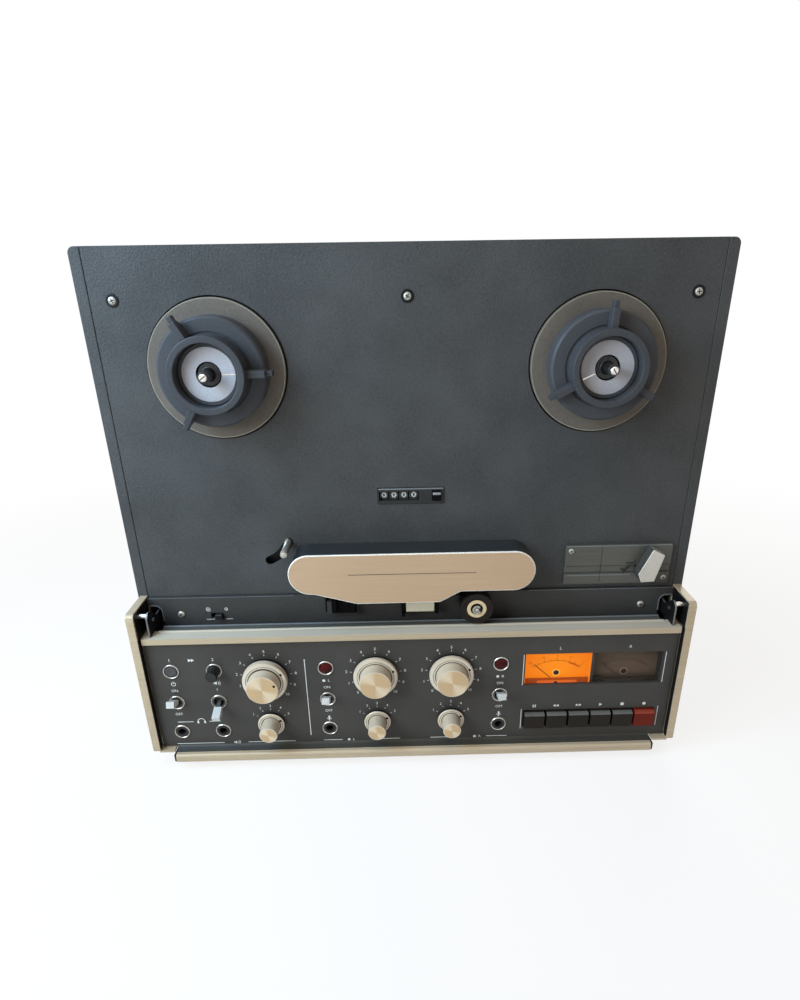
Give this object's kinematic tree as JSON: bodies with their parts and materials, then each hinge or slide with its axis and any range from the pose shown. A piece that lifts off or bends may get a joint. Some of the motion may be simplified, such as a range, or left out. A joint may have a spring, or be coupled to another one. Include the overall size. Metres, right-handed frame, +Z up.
{
  "type": "reel-to-reel tape recorder",
  "caption": "Upright reel-to-reel tape recorder with turning reel drives, covered head block, tape counter, level meters, knobs, switches and transport keys.",
  "frame": {"origin": "middle of the footprint on the floor, under the feet", "axes": "+X to the right seen from the front, +Y toward the back, +Z up"},
  "size_m": [0.456, 0.207, 0.416],
  "materials": {
    "slate_shell": "fine matte grain",
    "slate_plate": "fine textured slate lacquer",
    "rear_metal": "satin dark lacquer",
    "chassis_metal": "cast",
    "dark_trim": "fine matte",
    "brushed_frame": "brushed",
    "panel_lacquer": "fine matte lacquer",
    "steel": "bright",
    "foot_rubber": "matte",
    "motor_steel": "zinc plated",
    "board": "laminate",
    "head_metal": "satin",
    "splicer_grey": "matte",
    "meter_dial": "lit dial",
    "clear_window": "clear",
    "nickel": "satin nickel",
    "lamp_red": "translucent red",
    "switch_body": "phenolic",
    "turntable_olive": "satin lacquer",
    "adapter_black": "satin",
    "roller_rubber": "matte",
    "arm_black": "satin",
    "digit_white": "matte",
    "control_black": "satin",
    "key_red": "satin",
    "lever_silver": "satin",
    "toggle_ivory": "satin",
    "knob_spun": "spun",
    "needle_black": "matte",
    "cover_metal": "brushed"
  },
  "bodies": {
    "recorder": {"cabinet": "slate_shell", "back_panel": "rear_metal", "chassis": "chassis_metal", "deck_plate": "slate_plate", "head_trim": "dark_trim", "panel_frame": "brushed_frame", "control_panel": "panel_lacquer", "hinge_hardware": "steel", "feet": "foot_rubber", "screws": "steel", "motors": "motor_steel", "electronics": "board", "head_block": "chassis_metal", "tape_heads": "head_metal", "counter_frame": "dark_trim", "splicer_block": "splicer_grey", "meter_cases": "meter_dial", "meter_window": "clear_window", "sockets": "nickel", "record_lamps": "lamp_red", "control_bodies": "switch_body"},
    "supply_drive": {"supply_turntable": "turntable_olive", "supply_adapter": "adapter_black"},
    "takeup_drive": {"takeup_turntable": "turntable_olive", "takeup_adapter": "adapter_black"},
    "cover": {"head_cover": "dark_trim", "cover_front": "cover_metal"},
    "supply_lock_body": {"supply_lock": "adapter_black"},
    "takeup_lock_body": {"takeup_lock": "adapter_black"},
    "capstan_body": {"capstan": "steel"},
    "pinch_arm_body": {"pinch_arm": "arm_black"},
    "pinch_roller_body": {"pinch_roller": "roller_rubber"},
    "tension_arm_body": {"tension_arm": "steel"},
    "head_shield_body": {"head_shield": "head_metal"},
    "units_wheel_body": {"units_wheel": "digit_white"},
    "upper_wheels_body": {"upper_wheels": "digit_white"},
    "reset_button_body": {"reset_button": "control_black"},
    "splicer_lever_body": {"splicer_lever": "lever_silver"},
    "reel_size_slider_body": {"reel_size_slider": "control_black"},
    "speed_button_left_body": {"speed_button_left": "control_black"},
    "speed_button_right_body": {"speed_button_right": "control_black"},
    "power_toggle_body": {"power_toggle": "toggle_ivory"},
    "monitor_toggle_body": {"monitor_toggle": "toggle_ivory"},
    "record_toggle_left_body": {"record_toggle_left": "toggle_ivory"},
    "record_toggle_right_body": {"record_toggle_right": "toggle_ivory"},
    "volume_knob_body": {"volume_knob": "knob_spun"},
    "balance_ring_body": {"balance_ring": "knob_spun"},
    "level_knob_left_body": {"level_knob_left": "knob_spun"},
    "level_knob_right_body": {"level_knob_right": "knob_spun"},
    "mode_knob_body": {"mode_knob": "knob_spun"},
    "input_knob_left_body": {"input_knob_left": "knob_spun"},
    "input_knob_right_body": {"input_knob_right": "knob_spun"},
    "needle_left_body": {"needle_left": "needle_black"},
    "needle_right_body": {"needle_right": "needle_black"},
    "key_1_body": {"key_1": "control_black"},
    "key_2_body": {"key_2": "control_black"},
    "key_3_body": {"key_3": "control_black"},
    "key_4_body": {"key_4": "control_black"},
    "key_5_body": {"key_5": "control_black"},
    "key_6_body": {"key_6": "key_red"}
  },
  "joints": [
    {"name": "supply_spin", "type": "hinge", "parent": "recorder", "child": "supply_drive", "pos_m": [-0.1375, -0.0555, 0.334], "axis": [0, -1, 0], "continuous": true},
    {"name": "takeup_spin", "type": "hinge", "parent": "recorder", "child": "takeup_drive", "pos_m": [0.1375, -0.0555, 0.334], "axis": [0, -1, 0], "continuous": true},
    {"name": "supply_lock_turn", "type": "hinge", "parent": "supply_drive", "child": "supply_lock_body", "pos_m": [-0.1375, -0.0755, 0.334], "axis": [0, -1, 0], "range_deg": [0, 60]},
    {"name": "takeup_lock_turn", "type": "hinge", "parent": "takeup_drive", "child": "takeup_lock_body", "pos_m": [0.1375, -0.0755, 0.334], "axis": [0, -1, 0], "range_deg": [0, 60]},
    {"name": "capstan_spin", "type": "hinge", "parent": "recorder", "child": "capstan_body", "pos_m": [0.05287, -0.0555, 0.16688], "axis": [0, -1, 0], "continuous": true},
    {"name": "pinch_swing", "type": "hinge", "parent": "recorder", "child": "pinch_arm_body", "pos_m": [0.027, -0.0605, 0.15], "axis": [0, -1, 0], "range_deg": [0, 11]},
    {"name": "roller_spin", "type": "hinge", "parent": "pinch_arm_body", "child": "pinch_roller_body", "pos_m": [0.0523, -0.0705, 0.1446], "axis": [0, -1, 0], "continuous": true},
    {"name": "shield_lift", "type": "slide", "parent": "recorder", "child": "head_shield_body", "axis": [0, 0, 1], "range_m": [0, 0.005]},
    {"name": "tension_swing", "type": "hinge", "parent": "recorder", "child": "tension_arm_body", "pos_m": [-0.1258, -0.0505, 0.2093], "axis": [0, -1, 0], "range_deg": [-45, 0], "stiffness_Nm_per_rad": 0.02, "springref_deg": 28.65},
    {"name": "units_turn", "type": "hinge", "parent": "recorder", "child": "units_wheel_body", "pos_m": [0.0027, -0.0451, 0.2355], "axis": [1, 0, 0], "continuous": true},
    {"name": "upper_turn", "type": "hinge", "parent": "recorder", "child": "upper_wheels_body", "pos_m": [-0.0207, -0.0451, 0.2355], "axis": [1, 0, 0], "continuous": true},
    {"name": "reset_press", "type": "slide", "parent": "recorder", "child": "reset_button_body", "axis": [0, 1, 0], "range_m": [0, 0.002], "stiffness_N_per_m": 300, "springref_m": -0.002},
    {"name": "splicer_swing", "type": "hinge", "parent": "recorder", "child": "splicer_lever_body", "pos_m": [0.1905, -0.0615, 0.1665], "axis": [0, -1, 0], "range_deg": [0, 60]},
    {"name": "reel_size_slide", "type": "slide", "parent": "recorder", "child": "reel_size_slider_body", "axis": [-1, 0, 0], "range_m": [0, 0.004]},
    {"name": "speed_left_press", "type": "slide", "parent": "recorder", "child": "speed_button_left_body", "axis": [0, -1, 0], "range_m": [0, 0.01]},
    {"name": "speed_right_press", "type": "slide", "parent": "recorder", "child": "speed_button_right_body", "axis": [0, -1, 0], "range_m": [-0.01, 0]},
    {"name": "power_switch", "type": "hinge", "parent": "recorder", "child": "power_toggle_body", "pos_m": [-0.2005, -0.08, 0.065], "axis": [1, 0, 0], "range_deg": [0, 48]},
    {"name": "monitor_switch", "type": "hinge", "parent": "recorder", "child": "monitor_toggle_body", "pos_m": [-0.165, -0.08, 0.065], "axis": [1, 0, 0], "range_deg": [-48, 0]},
    {"name": "record_left_switch", "type": "hinge", "parent": "recorder", "child": "record_toggle_left_body", "pos_m": [-0.073, -0.08, 0.065], "axis": [1, 0, 0], "range_deg": [0, 48]},
    {"name": "record_right_switch", "type": "hinge", "parent": "recorder", "child": "record_toggle_right_body", "pos_m": [0.073, -0.08, 0.065], "axis": [1, 0, 0], "range_deg": [0, 48]},
    {"name": "volume_turn", "type": "hinge", "parent": "recorder", "child": "volume_knob_body", "pos_m": [-0.1225, -0.0955, 0.089], "axis": [0, -1, 0], "range_deg": [-71, 209]},
    {"name": "balance_turn", "type": "hinge", "parent": "recorder", "child": "balance_ring_body", "pos_m": [-0.1225, -0.0885, 0.089], "axis": [0, -1, 0], "range_deg": [-78, 202]},
    {"name": "level_left_turn", "type": "hinge", "parent": "recorder", "child": "level_knob_left_body", "pos_m": [-0.0315, -0.0905, 0.089], "axis": [0, -1, 0], "range_deg": [-72, 208]},
    {"name": "level_right_turn", "type": "hinge", "parent": "recorder", "child": "level_knob_right_body", "pos_m": [0.0315, -0.0905, 0.089], "axis": [0, -1, 0], "range_deg": [-72, 208]},
    {"name": "mode_turn", "type": "hinge", "parent": "recorder", "child": "mode_knob_body", "pos_m": [-0.1225, -0.0905, 0.042], "axis": [0, -1, 0], "range_deg": [0, 120]},
    {"name": "input_left_turn", "type": "hinge", "parent": "recorder", "child": "input_knob_left_body", "pos_m": [-0.0315, -0.0905, 0.042], "axis": [0, -1, 0], "range_deg": [0, 120]},
    {"name": "input_right_turn", "type": "hinge", "parent": "recorder", "child": "input_knob_right_body", "pos_m": [0.0315, -0.0905, 0.042], "axis": [0, -1, 0], "range_deg": [0, 120]},
    {"name": "needle_left_swing", "type": "hinge", "parent": "recorder", "child": "needle_left_body", "pos_m": [0.122, -0.0765, 0.0715], "axis": [0, -1, 0], "range_deg": [-94, 0], "stiffness_Nm_per_rad": 0.0005, "springref_deg": 17.19},
    {"name": "needle_right_swing", "type": "hinge", "parent": "recorder", "child": "needle_right_body", "pos_m": [0.18, -0.0765, 0.0715], "axis": [0, -1, 0], "range_deg": [-94, 0], "stiffness_Nm_per_rad": 0.0005, "springref_deg": 17.19},
    {"name": "key_1_press", "type": "slide", "parent": "recorder", "child": "key_1_body", "axis": [0, 1, 0], "range_m": [0, 0.003], "stiffness_N_per_m": 300, "springref_m": -0.002},
    {"name": "key_2_press", "type": "slide", "parent": "recorder", "child": "key_2_body", "axis": [0, 1, 0], "range_m": [0, 0.003], "stiffness_N_per_m": 300, "springref_m": -0.002},
    {"name": "key_3_press", "type": "slide", "parent": "recorder", "child": "key_3_body", "axis": [0, 1, 0], "range_m": [0, 0.003], "stiffness_N_per_m": 300, "springref_m": -0.002},
    {"name": "key_4_press", "type": "slide", "parent": "recorder", "child": "key_4_body", "axis": [0, 1, 0], "range_m": [0, 0.003], "stiffness_N_per_m": 300, "springref_m": -0.002},
    {"name": "key_5_press", "type": "slide", "parent": "recorder", "child": "key_5_body", "axis": [0, 1, 0], "range_m": [0, 0.003], "stiffness_N_per_m": 300, "springref_m": -0.002},
    {"name": "key_6_press", "type": "slide", "parent": "recorder", "child": "key_6_body", "axis": [0, 1, 0], "range_m": [0, 0.003], "stiffness_N_per_m": 300, "springref_m": -0.002},
    {"name": "cover_pull", "type": "slide", "parent": "recorder", "child": "cover", "axis": [0, -1, 0], "range_m": [0, 0.045]}
  ],
  "couplings": [
    {"joint": "shield_lift", "follows": "pinch_swing", "m_per_rad": 0.026017},
    {"joint": "units_turn", "follows": "takeup_spin", "ratio": 0.05},
    {"joint": "upper_turn", "follows": "takeup_spin", "ratio": 0.005},
    {"joint": "speed_left_press", "follows": "speed_right_press", "ratio": -1}
  ]
}
